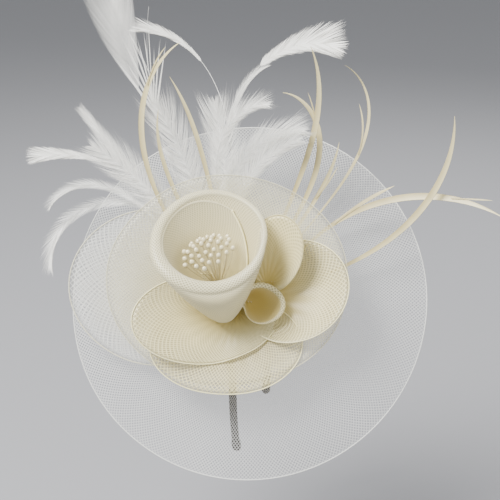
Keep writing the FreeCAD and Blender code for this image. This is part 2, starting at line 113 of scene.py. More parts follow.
# How each layer is made up: the point its braid is gathered at, how far it puffs up, how
# deep its under layer hangs, how high its rim ruffles, the seed of its ruffles, how far one
# side of its rim curls up, and the direction of that side.
MAKE = {
    "crin_loop_left": ((-30.0, 4.0), 2.0, 2.0, 2.0, 3, 0.0, 0.0),
    "flower_back_layer": ((-10.0, 0.0), 2.0, 3.0, 4.5, 5, 0.0, 0.0),
    "petal_lower_back": ((-8.0, -14.0), 5.0, 5.0, 4.5, 7, 0.0, 0.0),
    "petal_right": ((14.0, -4.0), -4.0, 6.0, 4.0, 11, 6.0, -1.2),
    "petal_lower_front": ((-6.0, -14.0), 3.5, 3.0, 4.5, 13, 9.0, 3.0),
    "petal_wrap": ((20.0, 6.0), 3.0, 4.0, 3.0, 17, 8.0, 0.6),
}

# Bunches: the middle of each row of quills, and the heading of the row in degrees.
BUNCHES = {
    "left": (-24.0, 16.0, 118.0),
    "right": (10.0, 20.0, 90.0),
    "side": (26.0, 7.0, 40.0),
}

# For each feather and quill: bunch, place in the row, heading, turn over its length, how
# late the turn comes, length, height of the tip, greatest width, and where the vane starts.
FEATHERS = {
    "feather_arched": ("left", -6.5, 92, 94, 3.2, 256, 36, 19, 0.76),
    "feather_plume_top": ("left", -5.5, 94, 10, 2.0, 150, 38, 42, 0.30),
    "biot_left_short": ("left", -4.5, 104, 23, 4.0, 170, 66, 4.5, 0),
    "feather_thin_stem": ("left", -3.5, 107, 13, 0.7, 233, 42, 2.5, 0.80),
    "feather_plume_middle": ("left", -2.5, 110, 12, 2.0, 158, 52, 44, 0.30),
    "feather_broad": ("left", -1.5, 118, -21, 3.8, 285, 29, 52, 0.66),
    "feather_spiky_fan": ("left", -0.5, 119, -36, 2.0, 246, 58, 22, 0.62),
    "biot_left_small": ("left", 0.5, 120, -44, 4.0, 149, 64, 4.0, 0),
    "feather_white_tip": ("left", 1.5, 121, 76, 1.7, 208, 34, 24, 0.72),
    "feather_hackle_low": ("left", 2.5, 122, 168, 1.7, 216, 26, 15, 0.40),
    "feather_plume_side": ("left", 3.5, 123, 34, 1.8, 160, 42, 40, 0.32),
    "feather_narrow": ("left", 4.5, 125, 8, 0.7, 190, 40, 13, 0.45),
    "biot_left_tall": ("left", 6.5, 124, -103, 2.6, 224, 88, 5.5, 0),
    "feather_hackle_curl": ("left", 8.0, 127, 132, 3.0, 181, 41, 11, 0.40),
    "biot_right_thin": ("right", -4.5, 52, 104, 3.8, 221, 30, 3.0, 0),
    "biot_right_fork": ("right", -3.0, 57, 26, 4.0, 133, 28, 4.0, 0),
    "biot_right_inner": ("right", -1.5, 60, 124, 3.6, 180, 58, 5.5, 0),
    "biot_right_tall": ("right", 0.0, 67, 52, 4.0, 194, 84, 5.5, 0),
    "feather_slim_curl": ("right", 1.2, 105, -86, 4.0, 199, 30, 8, 0.62),
    "feather_fan_tip": ("right", 2.2, 113, -141, 2.1, 268, 60, 60, 0.73),
    "feather_fluff_low": ("right", 3.2, 122, -118, 1.2, 142, 58, 24, 0.40),
    "feather_fluff_high": ("right", 4.2, 116, -150, 2.8, 170, 96, 20, 0.45),
    "feather_fluff_middle": ("right", 5.2, 126, -138, 1.3, 168, 56, 26, 0.40),
    "biot_right_side": ("side", -1.2, 20, 76, 2.0, 224, 66, 6.0, 0),
    "biot_right_long": ("side", 1.2, 60, -94, 1.2, 228, 48, 6.5, 0),
}

# Barbs of each feather: kind, barbs on a side, width of a barb, angle from the shaft at
# the root and at the tip of the vane, how untidy it is, and how far the barbs curve.
BARBS = {
    "feather_arched": ("spatula", 90, 0.8, 22, 14, 0.30, 0.10),
    "feather_plume_top": ("plume", 330, 0.46, 62, 22, 0.50, 0.45),
    "feather_thin_stem": ("hackle", 24, 0.4, 20, 10, 0.20, 0.10),
    "feather_plume_middle": ("plume", 330, 0.46, 62, 22, 0.50, 0.45),
    "feather_broad": ("blade", 240, 0.7, 34, 12, 0.04, 0.22),
    "feather_spiky_fan": ("fan", 40, 0.8, 24, 9, 0.10, -0.03),
    "feather_white_tip": ("spatula", 100, 0.8, 24, 22, 0.22, 0.02),
    "feather_hackle_low": ("hackle", 120, 0.6, 44, 18, 0.30, 0.30),
    "feather_plume_side": ("plume", 330, 0.46, 60, 24, 0.50, 0.45),
    "feather_narrow": ("hackle", 110, 0.6, 40, 13, 0.25, 0.20),
    "feather_hackle_curl": ("hackle", 110, 0.6, 40, 14, 0.30, 0.25),
    "feather_slim_curl": ("hackle", 70, 0.6, 28, 10, 0.20, 0.20),
    "feather_fan_tip": ("spatula", 150, 1.0, 30, 26, 0.30, 0.04),
    "feather_fluff_low": ("plume", 330, 0.46, 54, 14, 0.50, 0.40),
    "feather_fluff_high": ("plume", 260, 0.46, 50, 14, 0.50, 0.30),
    "feather_fluff_middle": ("plume", 330, 0.46, 54, 14, 0.50, 0.40),
}

# Thin splinters that part from a quill: where they leave it, how far they lean away, how
# they turn, their length and width.
SPLINTERS = {
    "biot_right_thin": [(0.60, 8, 36, 46, 1.6)],
    "biot_right_long": [(0.34, 6, -16, 62, 3.4), (0.80, 9, -4, 34, 1.4)],
    "biot_right_inner": [(0.78, -7, 10, 26, 1.2)],
    "biot_right_fork": [(0.60, -9, 12, 34, 1.6)],
    "biot_left_tall": [(0.80, 7, -30, 34, 1.4)],
}


def length_field(name, description, default):
    return bpy.props.FloatProperty(
        name=name, description=description, default=default, unit="LENGTH")


def angle_field(name, description, degrees):
    return bpy.props.FloatProperty(
        name=name, description=description, default=radians(degrees), subtype="ANGLE")


def colour_field(name, thing, default):
    return bpy.props.FloatVectorProperty(
        name=name, description=f"Colour of {thing}", default=default, subtype="COLOR", size=3)


class FascinatorSizes(bpy.types.PropertyGroup):
    """The sizes of the pieces."""

    band_radius: length_field("Band radius", "Inside of the band over the crown", 0.070)
    band_width: length_field("Band width", "Width of the ribbon-wrapped band", 0.007)
    band_thickness: length_field("Band thickness", "Thickness of the wrapped band", 0.002)
    arm_radius: length_field("Arm radius", "Radius of the gentler curve of the arms", 0.200)
    base_radius: length_field("Base radius", "From the middle of the base to its edge", 0.035)
    base_angle: angle_field("Base angle", "From the crown round to the middle of the base", 45)
    brim_radius: length_field("Brim radius", "Radius of the round brim", 0.160)
    brim_droop: length_field("Brim droop", "How far the brim's edge falls back", 0.010)
    brim_wave: length_field("Brim wave", "Height of the soft waves round the brim's edge", 0.005)
    brim_azimuth: angle_field("Brim azimuth", "How far the brim faces forward", 8)
    brim_elevation: angle_field("Brim elevation", "How far the brim faces up", 30)
    mesh_pitch: length_field("Mesh pitch", "Distance between the crinoline's threads", 0.0026)
    cup_mouth_radius: length_field("Cup mouth radius", "Inside of the flower cup's mouth", 0.0425)
    cup_lip: length_field("Cup lip", "Radius that the cup's lip rolls over", 0.0052)
    pearl_radius: length_field("Pearl radius", "Radius of a stamen's pearl", 0.0021)
    stamen_count: bpy.props.IntProperty(
        name="Stamens", description="How many stamens stand in the cup", default=38)
    quill_radius: length_field("Quill radius", "Radius of a feather's shaft at its root", 0.00055)


class FascinatorColours(bpy.types.PropertyGroup):
    """The colours of the pieces."""

    crin_pale: colour_field("Brim", "the brim's mesh", (0.74, 0.74, 0.70))
    crin_cream: colour_field("Petals", "the flower's mesh", (0.79, 0.72, 0.41))
    # Gold of the gathered mesh: partly the stacked braid's own colour, partly painted shade in the
    # flower's depths.
    crin_gold: colour_field("Petal depths", "the mesh where it is gathered", (0.61, 0.48, 0.15))
    feather: colour_field("Feathers", "the feathers", (0.93, 0.92, 0.87))
    quill: colour_field("Quills", "the stripped quills", (0.76, 0.67, 0.37))
    # Dark end of the quills' colour: reached towards their roots, and as painted shade along one edge
    # of each blade.
    quill_shade: colour_field("Quill roots", "the stripped quills at their roots", (0.30, 0.23, 0.08))
    pearl: colour_field("Pearls", "the stamens' pearls", (0.76, 0.68, 0.42))
    ribbon: colour_field("Ribbon", "the headband's ribbon", (0.035, 0.024, 0.016))
    floor: colour_field("Floor", "the floor", (0.26, 0.26, 0.27))


def sizes():
    return bpy.context.scene.fascinator_sizes


def colours():
    return bpy.context.scene.fascinator_colours


def blended(first, second, share):
    """A colour a share of the way from the first to the second."""
    return tuple(a * (1 - share) + b * share for a, b in zip(first, second))


# ---- frames and courses ----

def polar(radius, angle, x=0.0):
    """A point at a radius from the arch's centre, at an angle from the crown to the right."""
    down = sizes().band_radius
    return Vector((x, -radius * sin(angle), radius * cos(angle) - down))


def brim_matrix():
    """From millimetres in the brim's frame to metres in the row frame."""
    s = sizes()
    turn, lift = s.brim_azimuth, s.brim_elevation
    level = cos(lift)
    out = Vector((sin(turn) * level, -cos(turn) * level, sin(lift)))
    forward = Vector((cos(turn), sin(turn), 0))
    up = out.cross(forward)
    middle = polar(s.band_radius + 0.0089, s.base_angle) + forward * 0.008
    matrix = Matrix((forward, up, out)).transposed().to_4x4()
    return Matrix.Translation(middle) @ matrix @ Matrix.Scale(MM, 4)


def brim_height(x, y):
    s = sizes()
    share = hypot(x, y) * MM / s.brim_radius
    turn = atan2(y, x)
    wave = 0.6 * sin(3 * turn + 0.6) + 0.4 * sin(5 * turn + 2.0)
    return share ** 2 * (s.brim_wave * wave * share - s.brim_droop) / MM


def feather_course(name, count=60):
    """The frames along a quill, in millimetres in the brim's frame."""
    bunch, place, heading, turn, lateness, length, tip, _, _ = FEATHERS[name]
    x, y, row = BUNCHES[bunch]
    across = radians(row + 90)
    at = Vector((x + place * 2 * cos(across), y + place * 2 * sin(across), 0))

    def height(share):
        return 7 + (tip - 7) * share ** 1.7

    return run_course(at, heading, turn, lateness, length, count, height)


def run_course(at, heading, turn, lateness, length, count, height):
    """The frames along a course: point, direction, side, normal and heading of each."""
    course = []
    fine = 8
    for n in range(count * fine + 1):
        share = n / (count * fine)
        angle = radians(heading + turn * share ** lateness)
        if n % fine == 0:
            course.append((Vector((at.x, at.y, height(share))), angle))
        at = at + Vector((cos(angle), sin(angle), 0)) * (length / (count * fine))
    frames = []
    for n, (point, angle) in enumerate(course):
        before, after = course[max(0, n - 1)][0], course[min(count, n + 1)][0]
        along = (after - before).normalized()
        side = Vector((-sin(angle), cos(angle), 0))
        frames.append((point, along, side, along.cross(side) * -1, angle))
    return frames


def on_course(frames, share):
    """The frame at a share of the course's length."""
    spot = min(max(share, 0), 1) * (len(frames) - 1)
    n = min(int(spot), len(frames) - 2)
    t = spot - n
    return [a.lerp(b, t) if isinstance(a, Vector) else a + (b - a) * t
            for a, b in zip(frames[n], frames[n + 1])]


# ---- meshes ----

def patch(bm, columns, rows, place, weave, gather=None):
    """A grid bent into shape: place, weave and gather take shares across and along it."""
    uv = bm.loops.layers.uv.get("weave") or bm.loops.layers.uv.new("weave")
    layer = bm.verts.layers.float.get("gather") or bm.verts.layers.float.new("gather")
    made = bmesh.ops.create_grid(bm, x_segments=columns, y_segments=rows, size=0.5)["verts"]
    spots = {v: (v.co.x + 0.5, v.co.y + 0.5) for v in made}
    for face in {f for v in made for f in v.link_faces}:
        for loop in face.loops:
            loop[uv].uv = weave(*spots[loop.vert])
    for v, (a, b) in spots.items():
        v[layer] = gather(a, b) if gather else 0.0
        v.co = place(a, b)
    return made


def tube(bm, points, radius, sides=6, up=Vector((0, 0, 1)), closed=False):
    """A tube round a run of points, with ends unless it's closed. radius takes a share of
    the way along."""
    count = len(points) - 1
    frames = []
    for n, point in enumerate(points):
        before = points[n - 1] if n else (points[-2] if closed else point)
        after = points[n + 1] if n < count else (points[1] if closed else point)
        along = (after - before).normalized()
        side = along.cross(up)
        side = side.normalized() if side.length > 1e-6 else Vector((1, 0, 0))
        frames.append((point, side, side.cross(along)))

    def place(a, b):
        n = min(count, round(b * count))
        point, side, normal = frames[n]
        turn = -a * tau
        size = radius(n / count)
        return point + side * (size * cos(turn)) + normal * (size * sin(turn))

    made = patch(bm, sides, count, place, weave=lambda a, b: (a, b), gather=lambda a, b: b)
    bmesh.ops.remove_doubles(bm, verts=made, dist=TUBE_MERGE)
    if not closed:
        kept = {v for v in made if v.is_valid}
        rims = [e for e in bm.edges if e.is_boundary and e.verts[0] in kept]
        bmesh.ops.holes_fill(bm, edges=rims, sides=sides)


def outward(bm):
    """Turns every face outwards."""
    bmesh.ops.recalc_face_normals(bm, faces=bm.faces)


def link_mesh(bm, name, materials):
    """Puts a mesh in the scene."""
    mesh = bpy.data.meshes.new(name)
    bm.to_mesh(mesh)
    bm.free()
    for material in materials:
        mesh.materials.append(material)
    made = bpy.data.objects.new(name, mesh)
    bpy.context.scene.collection.objects.link(made)
    return made


def new_piece(bm, name, materials, matrix, body, nodes):
    """A piece that stands for its CAD nodes, and rides on its body if it has only one."""
    bm.transform(matrix)
    piece = link_mesh(bm, name, materials)
    piece.data.shade_smooth()
    if body:
        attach(piece, body)
    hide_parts(*nodes)
    return piece


def flower_piece(bm, name, materials, node):
    """A piece made in millimetres in the brim's frame, which rides on the crown."""
    return new_piece(bm, name, materials, brim_matrix(), "crown", [node])


# ---- materials ----

def arithmetic(operation, swapped=False):
    """An operator of Value that adds a Math node."""
    def apply(self, other):
        pair = (other, self) if swapped else (self, other)
        return self.graph.math(operation, *pair)
    return apply


class Value:
    """A number socket whose arithmetic adds Math nodes."""

    def __init__(self, graph, socket):
        self.graph = graph
        self.socket = socket

    __add__ = arithmetic("ADD")
    __radd__ = arithmetic("ADD", swapped=True)
    __sub__ = arithmetic("SUBTRACT")
    __rsub__ = arithmetic("SUBTRACT", swapped=True)
    __mul__ = arithmetic("MULTIPLY")
    __rmul__ = arithmetic("MULTIPLY", swapped=True)
    __truediv__ = arithmetic("DIVIDE")
    __pow__ = arithmetic("POWER")

    def clamped(self):
        return self.graph.math("ADD", self, 0.0, clamp=True)


class Graph:
    """A material's nodes."""

    def __init__(self, name, **constants):
        self.material = bpy.data.materials.new(name)
        self.material.use_nodes = True
        self.nodes = self.material.node_tree.nodes
        self.links = self.material.node_tree.links
        self.shader = self.nodes["Principled BSDF"]
        for socket, value in constants.items():
            self.set(socket.replace("_", " ").title(), value)

    def set(self, socket, value):
        self.feed(self.shader.inputs[socket], value)

    def feed(self, socket, value):
        """Links a socket to another one, or gives it a constant."""
        value = getattr(value, "socket", value)
        if isinstance(value, bpy.types.NodeSocket):
            self.links.new(value, socket)
        elif socket.type == "RGBA" and len(value) == 3:
            socket.default_value = (*value, 1)
        else:
            socket.default_value = value

    def node(self, kind, settings=None, values=None):
        """Adds a node: its settings first, then the values or links of its sockets."""
        made = self.nodes.new(kind)
        for key, value in (settings or {}).items():
            setattr(made, key, value)
        for key, value in (values or {}).items():
            self.feed(made.inputs[key], value)
        return made

    def math(self, operation, a, b=0.0, clamp=False):
        made = self.node(
            "ShaderNodeMath", {"operation": operation, "use_clamp": clamp}, {0: a, 1: b})
        return Value(self, made.outputs[0])

    def mix(self, factor, a, b):
        made = self.node(
            "ShaderNodeMix", {"data_type": "RGBA"}, {0: factor, 6: a, 7: b})
        return made.outputs[2]

    def noise(self, scale, detail=2.0):
        place = self.node("ShaderNodeTexCoord").outputs["Object"]
        made = self.node(
            "ShaderNodeTexNoise", None, {"Scale": scale, "Detail": detail, "Vector": place})
        return Value(self, made.outputs["Fac"])

    def weave(self):
        """Along and across the braid, in millimetres."""
        place = self.node("ShaderNodeUVMap", {"uv_map": "weave"}).outputs[0]
        parts = self.node("ShaderNodeSeparateXYZ", None, {0: place})
        return Value(self, parts.outputs[0]), Value(self, parts.outputs[1])

    def gather(self):
        made = self.node("ShaderNodeAttribute", {"attribute_name": "gather"})
        return Value(self, made.outputs["Fac"])

    def bump(self, height, strength, distance):
        made = self.node("ShaderNodeBump", None, {
            "Strength": strength, "Distance": distance, "Height": height})
        self.set("Normal", made.outputs[0])


def crinoline(name, pale, deep, thread, gap_alpha, thread_alpha, finer=1.0, gap_shade=0.34):
    """Diagonal mesh of shiny filaments that closes up and deepens where it is gathered: the gold
    there is partly the stacked braid's own colour and partly painted shade. thread is half a
    filament's width as a share of the pitch; finer makes the pitch smaller, and the last
    argument sets how much painted shade darkens the gaps. Where threads cross, a painted
    highlight lightens them."""
    g = Graph(name, roughness=0.40, sheen_weight=0.25)
    along, across = g.weave()
    pitch = sizes().mesh_pitch / MM * sqrt(2) / finer
    close = g.gather()
    width = thread + close * THREAD_SWELL

    def threads(place):
        away = g.math("PINGPONG", place / pitch, 0.5)
        return g.math("MULTIPLY_ADD", (width - away) * THREAD_SHARPNESS, 1.0, clamp=True)

    first, second = threads(along + across), threads(along - across)
    shut = (close * 1.8 - 0.1).clamped()
    lines = g.math("MAXIMUM", first, second)
    mesh = lines + (1.0 - lines) * shut * 0.85
    cross = first * second * (1.0 - shut)
    patchy = g.noise(38.0) * 0.16 - 0.08
    solid = (close * 0.35 + gap_alpha).clamped()
    g.set("Alpha", (solid + (thread_alpha - solid) * mesh + patchy * 0.6).clamped())
    # Gathered braid turns towards the deep colour: partly the stacked braid's own gold, partly
    # painted shade in the depths of the petals and the cup. patchy adds random tone.
    depth = (close ** 1.1 * 1.25 + patchy * 1.2).clamped()
    body = g.mix(depth, pale, deep)
    # Painted highlight: a lighter copy of the pale colour, painted where the threads cross.
    lit = tuple(min(1.0, c * 1.14) for c in pale)
    # Painted shade: a darker copy of the deep colour, painted into the gaps between the threads.
    shade = tuple(c * k for c, k in zip(deep, (0.62, 0.62, 0.66)))
    shaded_gaps = g.mix(gap_shade, body, shade)
    # Base colour: painted shade in the gaps, the braid's own colour on the threads, and a painted
    # highlight where they cross.
    g.set("Base Color", g.mix((cross * 0.5).clamped(), g.mix(mesh, shaded_gaps, body), lit))
    return g.material


def hem_material(name, colour, alpha):
    """The smooth braid of a folded edge."""
    g = Graph(name, roughness=0.38)
    soft = g.noise(160.0, 1.0)
    g.set("Base Color", g.mix(soft, colour, tuple(min(1.0, c * 1.12) for c in colour)))
    g.set("Alpha", alpha)
    return g.material


def petal_hem():
    """The hem of the flower's petals, made only once."""
    # Paler than the petals: partly the folded braid's denser edge, partly a painted highlight that
    # lifts the hem out of the shade between the layers.
    paler = tuple(min(1.0, x * 1.15) for x in colours().crin_cream)
    return bpy.data.materials.get("petal_hem") or hem_material("petal_hem", paler, 0.9)


def feather_material(name, colour, alpha, fade):
    """Barbs that differ a little in tone and thin out towards their tips."""
    g = Graph(name, roughness=0.5, sheen_weight=0.3)
    tip = g.gather()
    tone, _ = g.weave()
    uneven = g.noise(60.0)
    shade = tuple(c * k for c, k in zip(colour, (0.70, 0.69, 0.65)))
    g.set("Base Color", g.mix((tone * 0.6 + uneven * 0.4 + 0.15).clamped(), shade, colour))
    g.set("Alpha", (alpha * (0.72 + tone * 0.4) - tip * tip * fade).clamped())
    return g.material


def plain_material(name, colour, roughness, depth, scale, **constants):
    """Cloth or thread with a fine grain."""
    g = Graph(name, roughness=roughness, **constants)
    grain = g.noise(scale)
    dark = tuple(c * (1 - 2 * depth) for c in colour)
    g.set("Base Color", g.mix(grain, dark, colour))
    g.bump(grain, 0.35, 0.0003)
    return g.material


# ---- sheets ----

def hem(bm, points, radius):
    """A folded edge along a closed or open run of points, in the second material."""
    closed = (points[0] - points[-1]).length < 1e-4
    before = set(bm.faces)
    tube(bm, points, lambda t: radius, sides=5, closed=closed)
    for face in set(bm.faces) - before:
        face.material_index = 1


def oval_reach(root, layer, angle):
    """How far it is from the root to a layer's outline, in one direction."""
    cx, cy, half_width, half_height, turn, _, _ = layer
    turn = radians(turn)

    def rounded(x, y):
        """Into a frame where the outline is a circle of radius 1."""
        return ((x * cos(turn) + y * sin(turn)) / half_width,
                (-x * sin(turn) + y * cos(turn)) / half_height)

    px, py = rounded(root[0] - cx, root[1] - cy)
    qx, qy = rounded(cos(angle), sin(angle))
    a, b, c = qx * qx + qy * qy, px * qx + py * qy, px * px + py * py - 1
    return (-b + sqrt(max(0.0, b * b - a * c))) / a


def ruffle(seed):
    """Soft, uneven waves round a rim."""
    rng = random.Random(seed)
    waves = [(k, rng.uniform(0.4, 1.0) / k ** 0.6, rng.uniform(0, tau))
             for k in (2, 3, 5, 8)]

    def height(angle):
        return sum(size * sin(k * angle + phase) for k, size, phase in waves) / 1.6

    return height


def petal(name, materials):
    """A loop of braid, folded double at its rim and gathered at its root."""
    layer = LAYERS[name]
    root, puff, hang, wave, seed, curl, turned = MAKE[name]
    _, _, half_width, half_height, _, height, dishing = layer
    ruffled = ruffle(seed)
    mean = (half_width + half_height) / 2

    def spot(angle, share, under):
        reach = oval_reach(root, layer, angle) * (1 + 0.02 * ruffled(angle + 1))
        r = reach * share
        x, y = root[0] + r * cos(angle), root[1] + r * sin(angle)
        z = height + dishing * ((x + 8) ** 2 + (y + 5) ** 2)
        z += wave * ruffled(angle) * share ** 2.5
        z += curl * max(0.0, cos(angle - turned)) ** 2 * share ** 3
        bulge = sin(pi * min(1, share) ** 1.4)
        z += -hang * bulge ** 0.8 if under else puff * bulge
        pleat = sin(PLEATS * angle + 3 * ruffled(angle)) * sin(pi * share) ** 2
        z += 0.5 * pleat * (1 - share)
        return Vector((x, y, z))

    def outwards(b):
        """Share of the way from the root to the rim, out on top and back underneath."""
        return b * 2 if b <= 0.5 else 2 - b * 2

    def place(a, b):
        return spot(-a * tau, outwards(b), b > 0.5)

    def weave(a, b):
        slant, shift = (1.0, 0) if b <= 0.5 else (0.86, 31.7)
        return a * tau * mean * slant, outwards(b) * mean * 1.1 * slant + shift

    def gather(a, b):
        return max(0.0, 1 - outwards(b)) ** 1.25

    bm = bmesh.new()
    columns, rows = PETAL_GRID
    made = patch(bm, columns, rows, place, weave, gather)
    bmesh.ops.remove_doubles(bm, verts=made, dist=SHEET_MERGE)
    rim = [spot(-n / columns * tau, 1.0, False) for n in range(columns + 1)]
    hem(bm, rim, HEM_RADIUS)
    piece = flower_piece(bm, name + "_mesh", materials, name)


# ---- operators ----

class FASCINATOR_OT_headband(bpy.types.Operator):
    """Winds the headband's ribbon over the strip and caps its ends."""

    bl_idname = "fascinator.headband"
    bl_label = "Headband"

    def execute(self, context):
        s = sizes()
        ribbon = plain_material("ribbon", colours().ribbon, 0.5, 0.15, 1500.0)
        middle = s.band_radius + s.band_thickness / 2
        over = s.arm_radius - middle
        arm_centre = polar(0, 0) + Vector((0, over * sin(ARM_BEND), -over * cos(ARM_BEND)))
        arm_end = ARM_END - CAP_LENGTH / s.arm_radius
        curved = middle * ARM_BEND
        long = curved + s.arm_radius * (arm_end - ARM_BEND)
        count = 150
        for side, name in ((1, "right"), (-1, "left")):
            points = []
            for n in range(count + 1):
                way = long * n / count
                if way <= curved:
                    point = polar(middle, way / middle)
                else:
                    turn = ARM_BEND + (way - curved) / s.arm_radius
                    point = arm_centre + Vector(
                        (0, -s.arm_radius * sin(turn), s.arm_radius * cos(turn)))
                points.append(Vector((point.x, side * point.y, point.z)))

            def place(a, b):
                n = min(count, round(b * count))
                along = (points[min(count, n + 1)] - points[max(0, n - 1)]).normalized()
                out = Vector((side, 0, 0)).cross(along) * side
                turn = a * tau * side
                c, d = cos(turn), sin(turn)
                wide = copysign(abs(c) ** 0.35, c) * s.band_width / 2
                deep = copysign(abs(d) ** 0.7, d) * s.band_thickness / 2
                lap = 1 + 0.035 * ((b * 30 + a * 0.5) % 1)
                return points[n] + Vector((wide * lap, 0, 0)) + out * (deep * lap)

            bm = bmesh.new()
            made = patch(bm, 24, count, place, lambda a, b: (a * 18, b * long / MM))
            bmesh.ops.remove_doubles(bm, verts=made, dist=METRE_MERGE)
            outward(bm)
            nodes = [f"band_wrap_arm_{name}"] + (["band_wrap_crown"] if side == 1 else [])
            piece = new_piece(bm, f"band_ribbon_{name}", [ribbon], Matrix.Identity(4), None,
                              nodes)
            start, end = polar(middle, HINGE - 0.05), polar(middle, HINGE + 0.05)
            start.y, end.y = side * start.y, side * end.y
            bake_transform(piece)
            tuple(start)
            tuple(end)
        dark = tuple(c * 0.9 for c in colours().ribbon)
        cap = plain_material("band_end", dark, 0.45, 0.1, 700.0)
        grey = (0.4, 0.4, 0.41)
        steel = plain_material("spring_steel", grey, 0.35, 0.05, 400.0, metallic=1.0)
        for name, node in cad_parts.items():
            if name.startswith("band_tip"):
                finish_cad(node, cap)
            if name.startswith("band_core"):
                finish_cad(node, steel)
        return {"FINISHED"}


def finish_cad(node, material):
    node.data.materials.clear()
    node.data.materials.append(material)


class FASCINATOR_OT_base(bpy.types.Operator):
    """Makes the domed base with its bound edge, and the felt patch under the band."""

    bl_idname = "fascinator.base"
    bl_label = "Base"

    def execute(self, context):
        s = sizes()
        cream = colours().crin_cream
        straw = plain_material("buckram", cream, 0.7, 0.14, 700.0)
        satin = plain_material("bias_binding", cream, 0.4, 0.06, 300.0)
        felt = plain_material("felt", (0.64, 0.58, 0.43), 0.9, 0.2, 900.0)
        inner = s.band_radius + s.band_thickness + BASE_GAP
        outer = inner + BASE_THICKNESS
        middle = inner + BASE_THICKNESS / 2
        edge = asin(s.base_radius / middle)
        place = Matrix.Translation(polar(0, 0)) @ Matrix.Rotation(s.base_angle, 4, "X")

        bm = bmesh.new()
        profile = []
        steps = 16
        for radius, order in ((outer, range(steps + 1)), (inner, range(steps, -1, -1))):
            for n in order:
                turn = edge * n / steps
                spot = (radius * sin(turn), 0, radius * cos(turn))
                profile.append(bm.verts.new(spot))
        edges = [bm.edges.new(pair) for pair in zip(profile, profile[1:])]
        bmesh.ops.spin(
            bm, geom=profile + edges, cent=(0, 0, 0), axis=(0, 0, 1), dvec=(0, 0, 0),
            angle=tau, steps=64, use_merge=True, use_duplicate=False)
        bmesh.ops.remove_doubles(bm, verts=bm.verts, dist=METRE_MERGE)
        outward(bm)
        shell = new_piece(bm, "base_shell", [straw], place, "crown", ["base_dome"])

        bm = bmesh.new()
        ring = []
        high = middle * cos(edge)
        for n in range(97):
            turn = tau * n / 96
            ring.append(Vector((s.base_radius * cos(turn), s.base_radius * sin(turn), high)))
        tube(bm, ring, lambda t: 0.0011, sides=10, closed=True)
        outward(bm)
        bias = new_piece(bm, "base_bias_binding", [satin], place, "crown",
                         ["base_binding"])

        bm = bmesh.new()
        made = bmesh.ops.create_cube(bm, size=1.0)["verts"]
        bmesh.ops.scale(bm, vec=(0.026, 0.034, 0.001), verts=made)
        bmesh.ops.bevel(bm, geom=bm.edges[:], offset=0.0003, segments=2, profile=0.5,
                        affect="EDGES", material=-1)
        long = [e for e in bm.edges if abs(e.verts[0].co.y - e.verts[1].co.y) > 0.02]
        bmesh.ops.subdivide_edges(bm, edges=long, cuts=20, use_grid_fill=True)
        for v in bm.verts:
            radius = s.band_radius - 0.0007 + v.co.z
            v.co = polar(radius, s.base_angle + v.co.y / s.band_radius, v.co.x)
        outward(bm)
        under = new_piece(bm, "felt_pad", [felt], Matrix.Identity(4), "crown",
                          ["felt_patch"])
        return {"FINISHED"}


class FASCINATOR_OT_brim(bpy.types.Operator):
    """Makes the round brim with its hemmed edge."""

    bl_idname = "fascinator.brim"
    bl_label = "Brim"

    def execute(self, context):
        s, c = sizes(), colours()
        material = crinoline("crin_pale", c.crin_pale, c.crin_pale, 0.13, 0.03, 0.52, 1.1)
        edge = hem_material("brim_hem", c.crin_pale, 0.75)
        radius = s.brim_radius / MM

        def spot(a, b):
            turn = a * tau
            r = radius * b
            x, y = r * cos(turn), r * sin(turn)
            return Vector((x, y, brim_height(x, y) + 0.3))

        def weave(a, b):
            return a * tau * radius, b * radius

        def gather(a, b):
            return 0.55 * max(0.0, 1 - b * 1.6) ** 1.2

        bm = bmesh.new()
        columns = 192
        made = patch(bm, columns, 40, spot, weave, gather)
        bmesh.ops.remove_doubles(bm, verts=made, dist=SHEET_MERGE)
        hem(bm, [spot(n / columns, 0.997) for n in range(columns + 1)], 0.6)
        piece = flower_piece(bm, "brim_mesh", [material, edge], "crin_brim")
        return {"FINISHED"}


class FASCINATOR_OT_petals(bpy.types.Operator):
    """Makes the loop behind the flower and the flower's flat layers."""

    bl_idname = "fascinator.petals"
    bl_label = "Petals"

    def execute(self, context):
        c = colours()
        pale, cream, gold = c.crin_pale, c.crin_cream, c.crin_gold
        # Where a crinoline is given eight values, the last is how much shade is painted into its
        # gaps: most for the lower back petal.
        loop = crinoline("crin_loop", pale, cream, 0.13, 0.06, 0.5, 1.2)
        loop_hem = hem_material("loop_hem", blended(pale, cream, 0.5), 0.7)
        warm = blended(pale, cream, 0.65)
        back = crinoline("crin_back", warm, tuple(x * 0.9 for x in cream),
                         0.11, 0.05, 0.60, 1.15, 0.55)
        back_hem = hem_material("back_hem", warm, 0.4)
        low = crinoline("crin_low", cream, gold, 0.11, 0.08, 0.80, 1.3, 0.6)
        front = crinoline("crin_cream", cream, gold, 0.14, 0.30, 0.86, 1.5, 0.42)
        rim = petal_hem()
        petal("crin_loop_left", [loop, loop_hem])
        petal("flower_back_layer", [back, back_hem])
        petal("petal_lower_back", [low, rim])
        for name in ("petal_right", "petal_lower_front"):
            petal(name, [front, rim])
        golden = blended(cream, gold, 0.25)
        wrap = crinoline("crin_wrap", golden, gold, 0.24, 0.60, 0.9, 2.0)
        wrap_hem = hem_material("wrap_hem", golden, 0.6)
        petal("petal_wrap", [wrap, wrap_hem])
        return {"FINISHED"}


def cone_frame(tip, mouth, mouth_normal, t):
    """Middle of a ring of the cone, the two directions in its plane, and its normal."""
    axis = (mouth - tip).normalized()
    normal = (axis * (1 - t) + mouth_normal * t).normalized()
    side = (Vector((1, 0, 0)) - normal * normal.x).normalized()
    return tip + (mouth - tip) * t, side, normal.cross(side), normal


